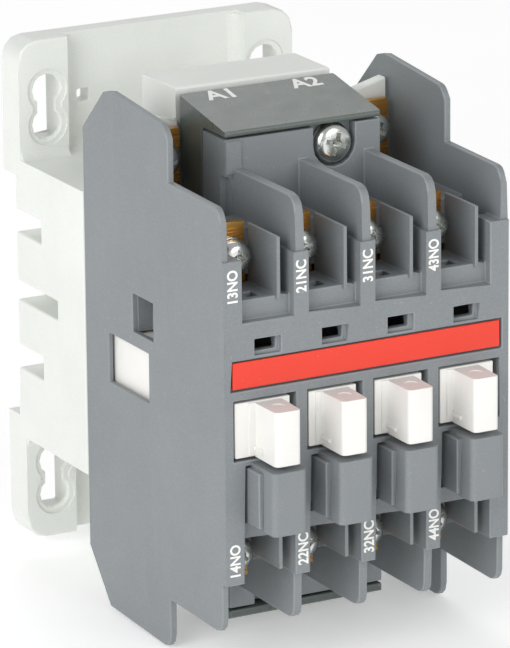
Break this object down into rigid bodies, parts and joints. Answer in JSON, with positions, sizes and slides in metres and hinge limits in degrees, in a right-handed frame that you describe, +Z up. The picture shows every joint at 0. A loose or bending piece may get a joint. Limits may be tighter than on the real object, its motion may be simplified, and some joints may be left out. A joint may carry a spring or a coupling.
{
  "type": "rail-mounted control relay",
  "caption": "Control relay with recessed screw terminals for ring lugs, a coil block behind, clip-on pillars in front and a base that snaps onto a mounting rail.",
  "frame": {"origin": "centre of the flat seat that rests against the front of the mounting rail", "axes": "+Y out of the back towards the rail and the panel, +Z up, +X to the right seen from the front"},
  "size_m": [0.044, 0.0726, 0.0765],
  "materials": {
    "light_grey_plastic": "fine matt moulded thermoplastic, light grey",
    "housing_grey_plastic": "fine matt moulded thermoplastic, mid grey",
    "cover_grey_plastic": "satin moulded thermoplastic, dark greenish grey",
    "white_plastic": "satin moulded thermoplastic, warm white",
    "dark_nylon": "glass-filled nylon, near black",
    "red_label": "plain red plastic strip",
    "rubber": "moulded rubber",
    "brass": "stamped brass with pressed serrations",
    "copper": "enamelled copper wire and bare copper rings",
    "silver_contact": "silver alloy tips on a plated copper bar",
    "zinc": "zinc-plated steel with a faint passivated tint",
    "spring_steel": "drawn spring steel",
    "lamination_steel": "stacked electrical steel sheets"
  },
  "bodies": {
    "housing": {"base_housing": "light_grey_plastic", "contact_housing": "housing_grey_plastic", "coil_cover_upper": "cover_grey_plastic", "coil_cover_lower": "cover_grey_plastic", "label_strip": "red_label", "core_cushion": "rubber", "fixed_core": "lamination_steel", "shading_ring_upper": "copper", "shading_ring_lower": "copper", "coil_bobbin": "dark_nylon", "coil_winding": "copper", "terminal_13": "brass", "terminal_21": "brass", "terminal_31": "brass", "terminal_43": "brass", "terminal_14": "brass", "terminal_22": "brass", "terminal_32": "brass", "terminal_44": "brass", "coil_terminal_a1": "brass", "coil_terminal_a2": "brass", "housing_screw_upper": "zinc", "housing_screw_lower": "zinc"},
    "carrier": {"contact_carrier": "white_plastic", "armature": "lamination_steel", "armature_pin": "spring_steel", "contact_bridge_1": "silver_contact", "contact_bridge_2": "silver_contact", "contact_bridge_3": "silver_contact", "contact_bridge_4": "silver_contact", "contact_spring_1": "spring_steel", "contact_spring_2": "spring_steel", "contact_spring_3": "spring_steel", "contact_spring_4": "spring_steel", "return_spring_left": "spring_steel", "return_spring_right": "spring_steel"},
    "latch": {"rail_latch": "dark_nylon", "rail_latch_spring": "spring_steel"},
    "clamp_13": {"terminal_screw_13": "zinc", "terminal_washer_13": "zinc"},
    "clamp_21": {"terminal_screw_21": "zinc", "terminal_washer_21": "zinc"},
    "clamp_31": {"terminal_screw_31": "zinc", "terminal_washer_31": "zinc"},
    "clamp_43": {"terminal_screw_43": "zinc", "terminal_washer_43": "zinc"},
    "clamp_14": {"terminal_screw_14": "zinc", "terminal_washer_14": "zinc"},
    "clamp_22": {"terminal_screw_22": "zinc", "terminal_washer_22": "zinc"},
    "clamp_32": {"terminal_screw_32": "zinc", "terminal_washer_32": "zinc"},
    "clamp_44": {"terminal_screw_44": "zinc", "terminal_washer_44": "zinc"},
    "clamp_a1": {"coil_screw_a1": "zinc", "coil_washer_a1": "zinc"},
    "clamp_a2": {"coil_screw_a2": "zinc", "coil_washer_a2": "zinc"}
  },
  "joints": [
    {"name": "carrier_slide", "type": "slide", "parent": "housing", "child": "carrier", "axis": [0, 1, 0], "range_m": [0, 0.0045], "stiffness_N_per_m": 600, "springref_m": -0.004, "deforming": ["return_spring_left", "return_spring_right"]},
    {"name": "latch_slide", "type": "slide", "parent": "housing", "child": "latch", "axis": [0, 0, -1], "range_m": [0, 0.0035], "stiffness_N_per_m": 1500, "springref_m": -0.002, "deforming": ["rail_latch_spring"]},
    {"name": "clamp_13_slide", "type": "slide", "parent": "housing", "child": "clamp_13", "axis": [0, -1, 0], "range_m": [0, 0.0024]},
    {"name": "clamp_21_slide", "type": "slide", "parent": "housing", "child": "clamp_21", "axis": [0, -1, 0], "range_m": [0, 0.0024]},
    {"name": "clamp_31_slide", "type": "slide", "parent": "housing", "child": "clamp_31", "axis": [0, -1, 0], "range_m": [0, 0.0024]},
    {"name": "clamp_43_slide", "type": "slide", "parent": "housing", "child": "clamp_43", "axis": [0, -1, 0], "range_m": [0, 0.0024]},
    {"name": "clamp_14_slide", "type": "slide", "parent": "housing", "child": "clamp_14", "axis": [0, -1, 0], "range_m": [0, 0.0024]},
    {"name": "clamp_22_slide", "type": "slide", "parent": "housing", "child": "clamp_22", "axis": [0, -1, 0], "range_m": [0, 0.0024]},
    {"name": "clamp_32_slide", "type": "slide", "parent": "housing", "child": "clamp_32", "axis": [0, -1, 0], "range_m": [0, 0.0024]},
    {"name": "clamp_44_slide", "type": "slide", "parent": "housing", "child": "clamp_44", "axis": [0, -1, 0], "range_m": [0, 0.0024]},
    {"name": "clamp_a1_slide", "type": "slide", "parent": "housing", "child": "clamp_a1", "axis": [0, -1, 0], "range_m": [0, 0.0024]},
    {"name": "clamp_a2_slide", "type": "slide", "parent": "housing", "child": "clamp_a2", "axis": [0, -1, 0], "range_m": [0, 0.0024]}
  ]
}
